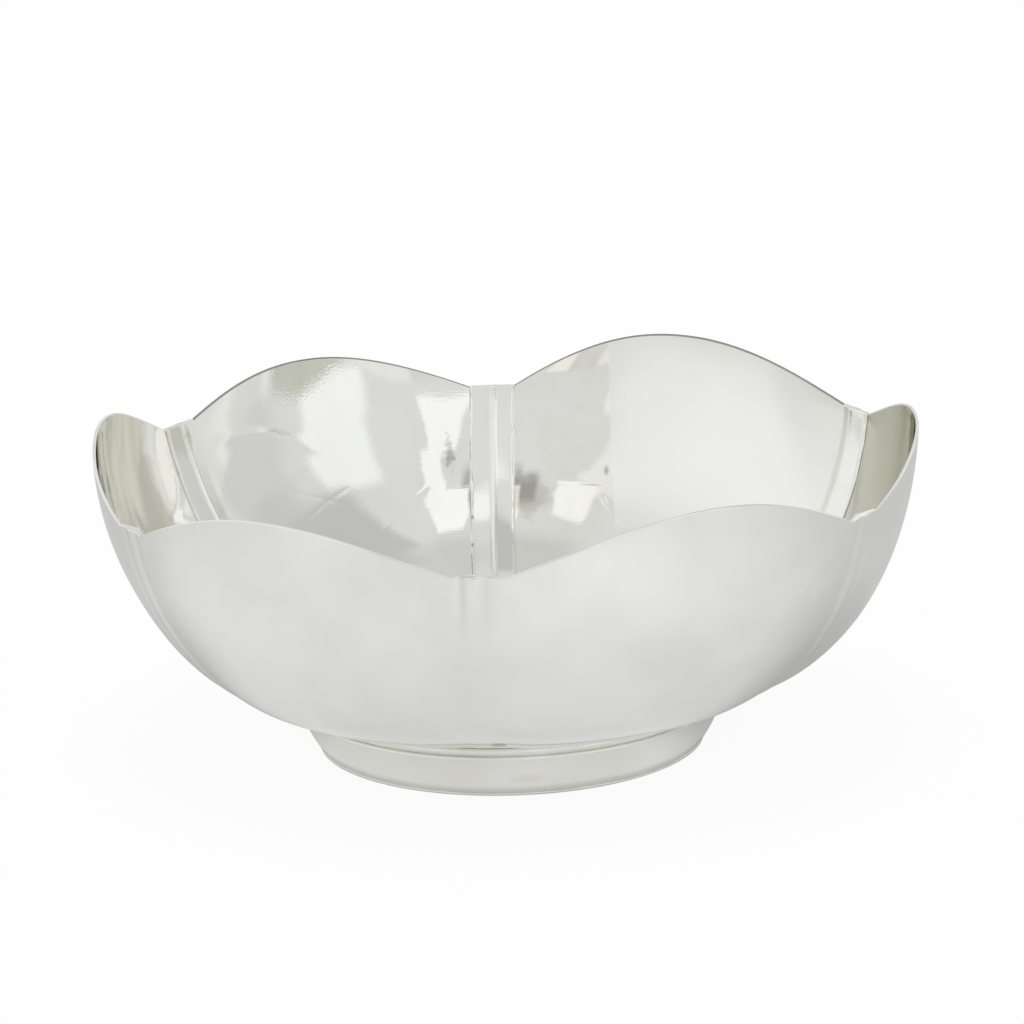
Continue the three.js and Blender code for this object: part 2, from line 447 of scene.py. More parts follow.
    def lobe_point(self, k: int, u: Array, v: Array, offset: Array, tuck: float) -> Array:
        """Point on lobe k.

        The lobe lies on the wall outline, sinks towards each fold by the
        fold's depth times |u|^n, flares at the crest by (1 - u^2)^2 v^4, and
        its belly swells by (1 - u^2) sin^2(pi v). Its creases are added.

        Args:
            k: the lobe's number.
            u: place across, from -1 to 1.
            v: place up, from 0 at the floor to 1 at the rim.
            offset: millimetres off the middle of the sheet, outwards.
            tuck: how far the lobe's edge reaches under the strap.

        Returns:
            Points in millimetres.
        """
        t = self.place_at(self.rim_height(k, u)) * v
        w = self.wall(t)
        first, last = self.azimuth(k, t), self.azimuth(k + 1, t)
        sunk_radius = w[0] - w[2] * self.sink(t)
        margin = np.degrees(np.arcsin((self.strap_width(t) / 2 - tuck) / sunk_radius))
        azimuth = np.radians((first + last) / 2 + ((last - first) / 2 - margin) * u)
        fall = self.sink(t) * np.abs(u) ** self.fold_sharpness
        flare = self.crest_flare[k] * (1 - u * u) ** 2 * v ** 4
        belly = self.belly[k] * (1 - u * u) * np.sin(np.pi * v) ** 2
        pressed = sum(crease.offset(u, v) for crease in self.creases if crease.lobe.value == k)
        return self.settle(azimuth, w, offset - fall + flare + belly + pressed)


@dataclass(frozen=True)
class SheetMesh:
    """A closed sheet: an outer and an inner grid that meet along all four edges."""

    name: str
    outer: Array
    inner: Array
    edge_rows: int = 0

    def build(self) -> Piece:
        """Makes the object.

        Both grids have the same border points, which are shared, so the sheet
        closes with no faces of its own along the edge.

        Returns:
            The object, with a material slot for each side, and the topmost
            rows in the slot of the edge.
        """
        rows, columns = self.outer.shape[:2]
        front = np.arange(rows * columns).reshape(rows, columns)
        back = front + rows * columns
        border = np.zeros((rows, columns), bool)
        border[[0, -1], :] = True
        border[:, [0, -1]] = True
        back = np.where(border, front, back)

        def quads(index: Array) -> Array:
            """Four corners of every cell of a grid."""
            return np.stack([index[:-1, :-1], index[:-1, 1:], index[1:, 1:], index[1:, :-1]],
                            axis=-1).reshape(-1, 4)

        outside, inside = quads(front), quads(back)[:, ::-1]
        points = np.concatenate([self.outer.reshape(-1, 3), self.inner.reshape(-1, 3)])
        used, faces = np.unique(np.concatenate([outside, inside]), return_inverse=True)
        made = mesh_object(self.name, points[used], faces.reshape(-1, 4).tolist())
        slots = np.repeat(np.array([Side.OUTSIDE.value, Side.INSIDE.value], np.int32), len(outside))
        slots = slots.reshape(2, rows - 1, columns - 1)
        slots[:, rows - 1 - self.edge_rows:] = Side.EDGE.value
        made.data.polygons.foreach_set("material_index", slots.ravel())
        made.data.update()
        return made


def edge_taper(distance: Array, half: float) -> Array:
    """Half thickness near an edge, as a quarter circle.

    With f = 1 - distance/half, it is sqrt(1 - f^2) of the full half
    thickness, and all of it beyond half.
    """
    f = 1 - np.minimum(distance / half, 1)
    return np.sqrt(np.maximum(1 - f * f, 0))


def edge_stations(count: int, length: float, half: float) -> Array:
    """Stations from 0 to 1 that crowd at both ends, where the edge is rounded.

    Args:
        count: number of even steps between the ends.
        length: millimetres from end to end.
        half: radius of the rounding.

    Returns:
        Rising stations.
    """
    turn = half * (1 - np.cos(np.linspace(0, np.pi / 2, EDGE_STATIONS)))
    near = np.concatenate([turn, np.multiply(half, BESIDE_EDGE)]) / length
    middle = np.linspace(near[-1], 1 - near[-1], count + 1)
    return np.concatenate([near[:-1], middle, 1 - near[:-1][::-1]])


def rounded_grid(steps: tuple[int, int], length: float, widths: Triple,
                 seam: float, half: float) -> tuple[Array, Array, Array]:
    """Places over a sheet, and half its thickness there with all four edges rounded.

    Args:
        steps: even steps across and up.
        length: millimetres from the sheet's foot to its top.
        widths: millimetres across at the foot, at the top, and usually.
        seam: radius of the rounding along both sides.
        half: half the sheet's thickness, the radius at its foot and top.

    Returns:
        Place across from -1 to 1, place up from 0 to 1, and millimetres.
    """
    foot, top, usual = widths
    u, v = np.meshgrid(2 * edge_stations(steps[0], usual, seam) - 1,
                       edge_stations(steps[1], length, half))
    thick = half * (edge_taper((1 - np.abs(u)) * (foot + (top - foot) * v) / 2, seam)
                    * edge_taper(np.minimum(v, 1 - v) * length, half))
    thick[[0, -1], :] = 0
    thick[:, [0, -1]] = 0
    return u, v, thick


@dataclass(frozen=True)
class LobeShells:
    """The six petal lobes of the wall."""

    form: BowlForm
    columns: int = 190
    rows: int = 160
    tuck: float = 0.25
    seam_round: float = 0.08
    edge_rows: int = 4
    wall_length: float = 122.0
    foot_width: float = 50.0
    top_width: float = 118.0
    usual_width: float = 100.0

    def build(self, lobe: Lobe) -> Piece:
        """Makes one lobe as a sheet with rounded edges."""
        u, v, thick = rounded_grid((self.columns, self.rows), self.wall_length,
                                   (self.foot_width, self.top_width, self.usual_width),
                                   self.seam_round, self.form.sheet / 2)
        outer, inner = (self.form.lobe_point(lobe.value, u, v, offset, self.tuck)
                        for offset in (thick, -thick))
        return SheetMesh(f"petal_{lobe.name.lower()}", outer, inner, self.edge_rows).build()

    def build_all(self) -> list[Piece]:
        """Makes all six and hides the plain nodes that they stand for."""
        made = []
        for lobe in Lobe:
            piece = self.build(lobe)
            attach(piece, "root")
            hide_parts(f"lobe_{lobe.name.lower()}")
            log.info("lobe %s: %d faces", lobe.name.lower(), len(piece.data.polygons))
            made.append(piece)
        return made


@dataclass(frozen=True)
class FoldStraps:
    """The six straps: almost flush outside, and folded to a low roof with a ridge inside."""

    form: BowlForm
    relief: float = 2.4
    outer_relief: float = 0.45
    hollow_from: float = 0.1
    hollow_rise: float = 0.5
    proud: float = 0.4
    fades_below: float = 0.12
    ridge_round: float = 0.05
    step: float = 0.45
    step_span: float = 0.07
    ridge_bead: float = 0.22
    ridge_bead_span: float = 0.5
    ridge_cut: float = 0.2
    ridge_cut_span: float = 0.3
    ridge_cut_at: float = 1.15
    seam_round: float = 0.08
    solder: float = 0.3
    solder_span: float = 0.7
    solder_level: float = 0.8
    solder_waves: tuple[Waves, ...] = (Waves(0.7, 5.5, 53), Waves(0.3, 2.2, 59))
    planish: Waves = Waves(0.035, 6.5, 61)
    columns: int = 110
    rows: int = 200
    wall_length: float = 108.0
    ridge_shift: Row = (0.0, -0.08, 0.0, 0.0, -0.18, 0.0)

    def point(self, k: int, q: Array, v: Array, offset: Array, side: Side) -> Array:
        """Point on strap k.

        With the ridge moved aside, p runs from 0 at the ridge to 1 at an edge.
        Inside, each half is a roof's slope: it falls with sqrt(p^2 + w^2), so
        that the ridge is rounded over w, and ends in a small step. A narrow
        bead runs along the ridge with a fine cut beside it, both bell curves
        of the distance. Outside, each half is a shallow hollow, sin^2(pi p),
        that dies out towards the foot. Solder adds a small uneven bead along
        both inner edges, a bell curve of the distance from the edge, and the
        planishing of the slopes a fine unevenness.

        Args:
            k: the fold's number.
            q: place across, from -1 to 1.
            v: place up, from 0 at the floor to 1 at the top.
            offset: millimetres off the middle of the sheet, outwards.
            side: which face.

        Returns:
            Points in millimetres.
        """
        g = self.ridge_shift[k]
        p = np.where(q > g, (q - g) / (1 - g), (g - q) / (1 + g))
        w = self.ridge_round
        roof = 1 - (np.sqrt(p * p + w * w) - w) / (math.sqrt(1 + w * w) - w)
        flank = np.clip((1 - p) / self.step_span, 0, 1)
        flank = flank * flank * (3 - 2 * flank)
        t = self.form.place_at(self.form.fold_top(k) + self.proud * flank) * v
        r, z, nr, nz = self.form.wall(t)
        reach = self.form.strap_width(t) / 2
        across = q * reach
        azimuth = np.radians(self.form.azimuth(k, t))
        ideal = around(r, azimuth, z, across)
        shift = offset - self.form.sink(t) + self.form.hand.offset(ideal)
        if side is Side.INSIDE:
            from_edge = (1 - np.abs(q)) * reach / self.solder_span
            from_ridge = (q - g) * reach
            from_cut = (from_ridge - self.ridge_cut_at) / self.ridge_cut_span
            bead = self.ridge_bead * np.exp(-(from_ridge / self.ridge_bead_span) ** 2)
            cut = self.ridge_cut * np.exp(-from_cut ** 2)
            height = self.step * flank + (self.relief - self.step) * roof + bead - cut
            height = height + self.planish.offset(ideal) * flank
            shift = shift - height * np.minimum(t / self.fades_below, 1)
            uneven = sum((waves.offset(ideal) for waves in self.solder_waves), self.solder_level)
            shift = shift - self.solder * uneven * np.exp(-from_edge * from_edge)
        else:
            rise = np.clip((v - self.hollow_from) / self.hollow_rise, 0, 1)
            shift = shift - self.outer_relief * np.sin(np.pi * p) ** 2 * rise
        along = np.sqrt(r * r - across * across) + nr * shift
        return around(along, azimuth, z + nz * shift, across)

    def build(self, fold: Fold) -> Piece:
        """Makes one strap as a sheet with rounded edges."""
        width = self.form.strap_top_width
        q, v, thick = rounded_grid((self.columns, self.rows), self.wall_length,
                                   (width, width, width), self.seam_round, self.form.sheet / 2)
        outer = self.point(fold.value, q, v, thick, Side.OUTSIDE)
        inner = self.point(fold.value, q, v, -thick, Side.INSIDE)
        outer[[0, -1], :] = (outer[[0, -1], :] + inner[[0, -1], :]) / 2
        outer[:, [0, -1]] = (outer[:, [0, -1]] + inner[:, [0, -1]]) / 2
        return SheetMesh(f"folded_strap_{fold.name.lower()}", outer, inner).build()

    def build_all(self) -> list[Piece]:
        """Makes all six and hides the plain nodes that they stand for."""
        made = []
        for fold in Fold:
            piece = self.build(fold)
            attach(piece, "root")
            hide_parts(f"strap_{fold.name.lower()}")
            log.info("strap %s: %d faces", fold.name.lower(), len(piece.data.polygons))
            made.append(piece)
        return made


def turned_mesh(name: str, outline: Array, facets: int,
                wobble: Callable[[Array], Array] | None = None,
                closed: bool = True) -> Piece:
    """Turns an outline about the bowl's axis.

    A point of the outline at radius r and height z goes to
    (r cos a, r sin a, z) for every azimuth a.

    Args:
        name: the object's name.
        outline: radius and height in millimetres, counter-clockwise as seen
            with the axis on the left, so that faces point outwards.
        facets: steps round the axis.
        wobble: gives a radial shift in millimetres for each point.
        closed: whether the last point joins the first. An open outline starts
            and ends on the axis.

    Returns:
        The new object.
    """
    a = np.linspace(0, 2 * np.pi, facets, endpoint=False)[:, None]
    body = outline if closed else outline[1:-1]
    r, z = body[:, 0][None, :], body[:, 1][None, :] + 0 * a
    ring = around(r, a, z)
    if wobble is not None:
        ring = around(r + wobble(ring), a, z)
    count = len(body)
    points = ring.reshape(-1, 3)
    index = np.arange(facets * count).reshape(facets, count)
    ahead = np.roll(index, -1, axis=0)
    if closed:
        sides = [index, ahead, np.roll(ahead, -1, axis=1), np.roll(index, -1, axis=1)]
        return mesh_object(name, points, np.stack(sides, axis=-1).reshape(-1, 4).tolist())
    sides = [index[:, :-1], ahead[:, :-1], ahead[:, 1:], index[:, 1:]]
    faces = np.stack(sides, axis=-1).reshape(-1, 4).tolist()
    first, last = facets * count, facets * count + 1
    faces += np.stack([np.full(facets, first), ahead[:, 0], index[:, 0]], axis=-1).tolist()
    faces += np.stack([np.full(facets, last), index[:, -1], ahead[:, -1]], axis=-1).tolist()
    poles = np.array([[0, 0, outline[0, 1]], [0, 0, outline[-1, 1]]])
    return mesh_object(name, np.concatenate([points, poles]), faces)


def rounded(corners: Sequence[Triple], steps: int = 6) -> Array:
    """Closed outline with a rounded corner at each given point.

    Each corner is a quadratic curve between the two points that lie its size
    away along its sides.

    Args:
        corners: radius, height and the corner's size in millimetres.
        steps: points along each curve.

    Returns:
        The outline's points.
    """
    table = np.array(corners, float)
    points, sizes = table[:, :2], table[:, 2:]
    to_last, to_next = np.roll(points, 1, axis=0) - points, np.roll(points, -1, axis=0) - points
    start, end = (points + way / np.linalg.norm(way, axis=1)[:, None] * sizes
                  for way in (to_last, to_next))
    f = np.linspace(0, 1, steps)[None, :, None]
    curve = ((1 - f) ** 2 * start[:, None] + 2 * f * (1 - f) * points[:, None]
             + f * f * end[:, None])
    return curve.reshape(-1, 2)


@dataclass(frozen=True)
class BowlFloor:
    """The round floor of the bowl, one flat disc with a rounded edge."""

    form: BowlForm
    rings: int = 40
    edge_points: int = 9
    facets: int = 240

    def build(self) -> Piece:
        """Makes the disc, closed at both poles, and hides the plain node that it stands for.

        Its points move down with the hammer's unevenness, so that it meets
        the lobes, and its upper faces get the slot of the inside.
        """
        half, level = self.form.sheet / 2, self.form.floor_height
        edge = self.form.floor_radius - half
        turn = np.linspace(-np.pi / 2, np.pi / 2, self.edge_points)
        inward = np.linspace(0, edge, self.rings)
        low = np.stack([inward, np.full(self.rings, level - half)], axis=-1)
        rim = np.stack([edge + half * np.cos(turn), level + half * np.sin(turn)], axis=-1)
        outline = np.concatenate([low, rim[1:-1], low[::-1] + [0, self.form.sheet]])
        piece = turned_mesh("spun_floor", outline, self.facets, closed=False)
        mesh = piece.data
        points = np.empty(len(mesh.vertices) * 3)
        mesh.vertices.foreach_get("co", points)
        points = points.reshape(-1, 3)
        flat = points / MM
        flat[:, 2] = level
        points[:, 2] -= self.form.hand.offset(flat) * MM
        mesh.vertices.foreach_set("co", points.ravel())
        mesh.update()
        middles = np.empty(len(mesh.polygons) * 3)
        mesh.polygons.foreach_get("center", middles)
        upper = middles.reshape(-1, 3)[:, 2] > level * MM
        slots = np.where(upper, Side.INSIDE.value, Side.OUTSIDE.value)
        mesh.polygons.foreach_set("material_index", slots.astype(np.int32))
        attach(piece, "root")
        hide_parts("floor_disc")
        log.info("floor: %d faces", len(mesh.polygons))
        return piece


@dataclass(frozen=True)
class FootRing:
    """The foot: a moulding under the bowl, a flared band and a thin wire at the table."""

    form: BowlForm
    foot_radius: float = 60.7
    wire_width: float = 2.4
    wire_height: float = 0.9
    wire_proud: float = 0.1
    wire_worn: float = 0.55
    wire_top_round: float = 0.2
    wire_back_round: float = 0.15
    band_flare: float = 6.0
    band_swell: float = 0.9
    band_sheet: float = 1.3
    band_top: float = 14.03
    band_ease: float = 0.35
    band_ease_from: float = 0.94
    band_points: int = 26
    bead_width: float = 3.0
    bead_height: float = 2.0
    bead_proud: float = 0.7
    bead_points: int = 15
    groove_height: float = 1.0
    groove_depth: float = 0.9
    groove_lip: Pair = (0.15, 0.25)
    neck_height: float = 1.1
    neck_depth: float = 0.6
    neck_start: float = 0.1
    facets: int = 360
    bending: Waves = Waves(0.09, 34.0, 5)
    filing: Waves = Waves(0.02, 7.0, 8)

    def wobble(self, points: Array) -> Array:
        """Slight unevenness of a ring that was bent and filed by hand."""
        return self.bending.offset(points) + self.filing.offset(points)

    def band(self) -> Piece:
        """The flared band, wider at its top.

        Its radius grows with height and swells by a half sine, and its top
        edge is eased by a square.
        """
        f = np.linspace(0, 1, self.band_points)
        height = self.wire_height + (self.band_top - self.wire_height) * f
        flared = self.foot_radius - self.wire_proud + self.band_flare * f
        near_top = np.clip((f - self.band_ease_from) / (1 - self.band_ease_from), 0, 1)
        swollen = flared + self.band_swell * np.sin(np.pi * f) - self.band_ease * near_top ** 2
        outer = np.stack([swollen, height], axis=-1)
        inner = np.stack([flared - self.band_sheet, height], axis=-1)[::-1]
        return turned_mesh("flared_band", np.concatenate([outer, inner]), self.facets, self.wobble)

    def bead(self) -> Piece:
        """The moulding: a groove over the band, a half round bead, and a neck up to the bowl."""
        top = self.foot_radius - self.wire_proud + self.band_flare
        outside, inside = top + self.bead_proud, top + self.bead_proud - self.bead_width
        bottom, neck = top - self.groove_depth, top - self.neck_depth
        half = self.bead_height / 2
        low = self.band_top + self.groove_height
        high = low + self.bead_height
        lip_in, lip_down = self.groove_lip
        a = np.linspace(-np.pi / 2, np.pi / 2, self.bead_points)
        outline = np.concatenate([
            [[inside, self.band_top], [bottom, self.band_top], [bottom, low - lip_down],
             [bottom + lip_in, low]],
            np.stack([outside - half + half * np.cos(a), low + half + half * np.sin(a)], axis=-1),
            [[neck, high + self.neck_start], [neck, high + self.neck_height],
             [inside, high + self.neck_height]]])
        return turned_mesh("soldered_bead", outline, self.facets, self.wobble)

    def wire(self) -> Piece:
        """The thin wire that the bowl stands on, worn round at its lower edge."""
        inside, back = self.foot_radius - self.wire_width, self.wire_back_round
        outline = rounded([(inside, 0, back), (self.foot_radius, 0, self.wire_worn),
                           (self.foot_radius, self.wire_height, self.wire_top_round),
                           (inside, self.wire_height, back)])
        return turned_mesh("foot_edge_wire", outline, self.facets)

    def build_all(self) -> list[Piece]:
        """Makes the three rings and hides the plain nodes that they stand for."""
        made = []
        for piece, node in ((self.bead(), "foot_bead"), (self.band(), "foot_band"),
                            (self.wire(), "foot_wire")):
            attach(piece, "root")
            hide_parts(node)
            log.info("%s: %d faces", piece.name, len(piece.data.polygons))
            made.append(piece)
        return made


@dataclass(frozen=True)
class Stain:
    """A clouded place on the silver, in millimetres in the bowl's frame.

    It is an ellipsoid, or a box where a film was wiped off along a straight
    line. Its border is as soft as the edge and as uneven as the ragged share,
    both as parts of its reach, and its haze is added to the roughness.
    """

    centre: Triple
    reach: Triple
    colour: str
    strength: float = 0.8
    haze_and_painted_reflections: float = 0.0
    edge: float = 0.6
    ragged: float = 1.4
    square: bool = False

    def share(self, nodes: Shading, place: Socket, noise: Socket) -> Socket:
        """How much the stain covers: full inside, and none beyond its uneven border.

        Args:
            nodes: the material's nodes.
            place: object coordinates.
            noise: a noise around a half that makes the border uneven.

        Returns:
            A share from 0 to its strength.
        """
        near = nodes.vector("SUBTRACT", place, tuple(c * MM for c in self.centre))
        even = nodes.vector("DIVIDE", near, tuple(r * MM for r in self.reach))
        if self.square:
            sides = nodes.parts(nodes.vector("ABSOLUTE", even))
            wide = nodes.maths("MAXIMUM", sides["X"], sides["Y"])
            far = nodes.maths("MAXIMUM", wide, sides["Z"])
        else:
            far = nodes.vector("LENGTH", even, out="Value")
        uneven = nodes.maths("MULTIPLY_ADD", noise, self.ragged, far)
        border = 1 + self.ragged / 2
        return nodes.ramp(uneven, (border - self.edge, border), (self.strength, 0.0))


@dataclass(frozen=True)
class PolishedSilver:
    """Sterling silver, raised and polished by hand.

    It gives the eye a bright mirror with faint cloudy patches, fine brushed
    lines that fray the edges of what it mirrors, and here and there dull
    spots or a stain. The edge tint darkens a film that is seen at a slant.
    Spans and the depth of a scratch are in millimetres.
    """

    name: str
    bright: str = "FAFAF8"
    dull: str = "F6F6F3"
    spot: str = "C9C8C0"
    edge_tint: str = "FFFFFF"
    roughness: float = 0.02
    cloud_roughness: float = 0.03
    cloud_span: float = 38.0
    cloud_tone: Pair = (0.35, 0.65)
    cloud_polish: Pair = (0.3, 0.7)
    mottle: float = 0.0
    mottle_span: float = 16.0
    mottle_tone: Pair = (0.5, 0.62)
    scratch: float = 0.04
    scratch_depth: float = 0.1
    scratch_span: float = 0.8
    scratch_stretch: float = 14.0
    scratch_turn: Triple = (0.4, 0.9, 0.3)
    stains: tuple[Stain, ...] = ()

    def build(self) -> bpy.types.Material:
        """Makes the material, ready to assign."""
        material = bpy.data.materials.new(self.name)
        nodes = Shading(material)
        place = nodes.add("TexCoord").outputs["Object"]
        clouds = nodes.noise(place, 1 / (self.cloud_span * MM), detail=3.0, roughness=0.55)
        tone = nodes.ramp(clouds, self.cloud_tone, (0.0, 1.0))
        colour = nodes.tint(tone, linear(self.dull), linear(self.bright))
        rough = nodes.ramp(clouds, self.cloud_polish,
                           (self.roughness + self.cloud_roughness, self.roughness), "LINEAR")
        fine = nodes.noise(place, 1 / (self.mottle_span * MM), detail=4.0, roughness=0.6)
        if self.mottle:
            spots = nodes.ramp(fine, self.mottle_tone, (0.0, self.mottle))
            colour = nodes.tint(spots, colour, linear(self.spot))
        for stain in self.stains:
            share = stain.share(nodes, place, fine)
            colour = nodes.tint(share, colour, linear(stain.colour))
            if stain.haze_and_painted_reflections:
                rough = nodes.maths("MULTIPLY_ADD", share, stain.haze_and_painted_reflections, rough)
        turned = nodes.add("Mapping", {"Vector": place, "Rotation": self.scratch_turn,
                                       "Scale": (1 / self.scratch_stretch, 1.0, 1.0)})
        lines = nodes.noise(turned.outputs["Vector"], 1 / (self.scratch_span * MM), detail=2.0)
        bump = nodes.add("Bump", {"Height": lines, "Strength": self.scratch,
                                  "Distance": self.scratch_depth * MM})
        shader = nodes.add("BsdfPrincipled", {
            "Base Color": colour, "Metallic": 1.0, "Roughness": rough,
            "Normal": bump.outputs["Normal"], "Specular Tint": linear(self.edge_tint)})
        nodes.add("OutputMaterial", {"Surface": shader.outputs["BSDF"]})
        return material


class Finish(Enum):
    """The silver of each place on the bowl, with what it gives the eye."""

    # A soft sheen with broad clouds, so that the tent melts to one pale tone.
    OUTSIDE = PolishedSilver("hand_polished_silver_outside", bright="FBFBF9", dull="F3F3EF",
                             roughness=0.1, cloud_roughness=0.04, cloud_span=45.0)
    # The same, with painted shade: two grey streaks of painted shade in the hollows below the
    # notch, and a dark pocket of painted shade at the fold's foot.
    FRONT_FOLD_PAINTED_SHADE = replace(OUTSIDE, name="hand_polished_silver_front_fold_painted_shade", stains=(
        Stain((-13.0, -125.0, 86.0), (2.0, 9.0, 30.0), "D6D7D0", 0.5, edge=1.2, ragged=0.5),
        Stain((-6.2, -125.0, 86.0), (3.3, 9.0, 26.0), "DCDDD6", 0.5, edge=1.2, ragged=0.5),
        Stain((-3.9, -88.0, 24.6), (2.8, 7.0, 1.9), "8C8D85", 0.75, edge=0.5, ragged=0.5)))
    # A clear mirror whose reflections fray, and one darker grey patch with a ragged border beside
    # the back strap.
    INSIDE = PolishedSilver("hand_polished_silver_inside", scratch=0.15, scratch_span=0.6,
                            mottle_span=2.6, stains=(
        Stain((-18.2, 118.0, 63.0), (2.6, 6.0, 7.5), "A8A89E", 0.7, edge=1.0, ragged=3.0),))
    # Warmer grey over the upper part, which leaves the mirrored bands readable.
    LEFT_UPPER_GREY = PolishedSilver("silver_left_lobe_upper_grey", bright="F8F8F4", dull="F1F1EB",
                               scratch=0.1, roughness=0.04, cloud_span=20.0, mottle_span=9.0,
                               stains=(
        Stain((-110.0, -38.0, 102.0), (60.0, 90.0, 55.0), "DDDBD0", 0.95, edge=0.06, ragged=0.1,
              square=True),))
    # An olive grey, darker over the upper part and darkest where it is seen at a slant.
    RIGHT_OLIVE_GREY = PolishedSilver("olive_grey_silver_right_lobe", bright="F8F8F4", dull="E6E7DC",
                                edge_tint="D4D4CA", scratch=0.12, roughness=0.04,
                                cloud_span=18.0, mottle=0.1, mottle_span=9.0, stains=(
        Stain((110.0, -20.0, 102.0), (70.0, 120.0, 55.0), "CFD0C5", 0.9, edge=0.06, ragged=0.1,
              square=True),))
    # A milky haze that ends in a straight line, and painted reflections: a warm olive-grey patch,
    # and a dark beak with its line.
    HAZE_AND_PAINTED_REFLECTIONS = PolishedSilver("hazy_silver_back_right_lobe", bright="FBFAF7", dull="F6F5F0",
                          scratch=0.07, mottle=0.05, mottle_span=6.0, stains=(
        Stain((86.0, 90.0, 100.0), (50.0, 80.0, 60.0), "FCFCFA", 1.0, haze_and_painted_reflections=0.2, edge=0.02,
              ragged=0.03, square=True),
        Stain((8.0, 112.0, 49.0), (9.0, 10.0, 9.0), "C9C9B8", 0.6),
        Stain((34.4, 112.9, 57.2), (1.3, 5.0, 2.6), "8A8A80", 0.7, edge=0.9),
        Stain((29.4, 111.6, 52.8), (4.6, 6.0, 0.5), "9A9A90", 0.6, edge=0.9, ragged=1.0)))
    # A slightly dull mirror with two solder pits on the back strap and a shade on its neighbour.
    STRAP = PolishedSilver("burnished_silver_strap", bright="FBFBF8", dull="F5F5F1", scratch=0.1,
                           roughness=0.08, mottle=0.05, mottle_span=7.0, stains=(
        Stain((-11.1, 105.9, 43.8), (0.7, 4.0, 0.9), "6A6A60", 0.6, 0.1, edge=0.7, ragged=0.4),
        Stain((-11.4, 98.9, 36.0), (0.6, 4.0, 0.8), "6A6A60", 0.6, 0.1, edge=0.7, ragged=0.4),
        Stain((-103.5, 68.4, 83.0), (3.0, 3.0, 6.0), "8F8F86", 0.5, 0.1, edge=0.7)))
    # Filed and left dull, a thin grey line along the rim.
    EDGE = PolishedSilver("filed_silver_rim_edge", bright="B2B2AA", dull="9E9E96",
                          edge_tint="C0C0B8", roughness=0.3, scratch=0.2)
    # A little yellower, with two faint straw-coloured clouds in front.
    FOOT = PolishedSilver("turned_silver_foot", bright="F7F7F3", dull="F2F2EC", roughness=0.1,
                          stains=(
        Stain((-14.8, -62.9, 7.0), (8.0, 8.0, 4.0), "EFEEE2", 0.5, edge=0.9),
        Stain((5.2, -64.7, 6.0), (11.0, 8.0, 3.5), "E9E8D8", 0.7, edge=0.9)))


@dataclass(frozen=True)
class TentPanel:
    """A part of the tent that is brighter or darker than the rest.

    Bearings are in degrees from the front, growing to the right, and heights
    are in degrees over the floor. The fades are the widths of its soft edges.
    """

    left: float
    right: float
    low: float
    high: float
    level: float
    side_fade: float
    top_fade: float

    def share(self, nodes: Shading, bearing: Socket, height: Socket) -> Socket:
        """How far a direction lies inside the panel.

        Args:
            nodes: the tent's nodes.
            bearing: the direction's bearing in radians.
            height: its height in radians.

        Returns:
            A share from 0 to 1.
        """
        share: Any = 1.0
        rising, falling = (0.0, 1.0), (1.0, 0.0)
        for value, at, fade, levels in ((bearing, self.left, self.side_fade, rising),
                                        (bearing, self.right, self.side_fade, falling),
                                        (height, self.low, self.top_fade, rising),
                                        (height, self.high, self.top_fade, falling)):
            span = (math.radians(at - fade / 2), math.radians(at + fade / 2))
            share = nodes.maths("MULTIPLY", share, nodes.ramp(value, span, levels))
        return share


@dataclass(frozen=True)
class Fade:
    """A smooth step over a span of some value, from one level to another."""

    span: Pair
    levels: Pair

    def level(self, nodes: Shading, value: Socket) -> Socket:
        """The level at a value."""
        return nodes.ramp(value, self.span, self.levels)


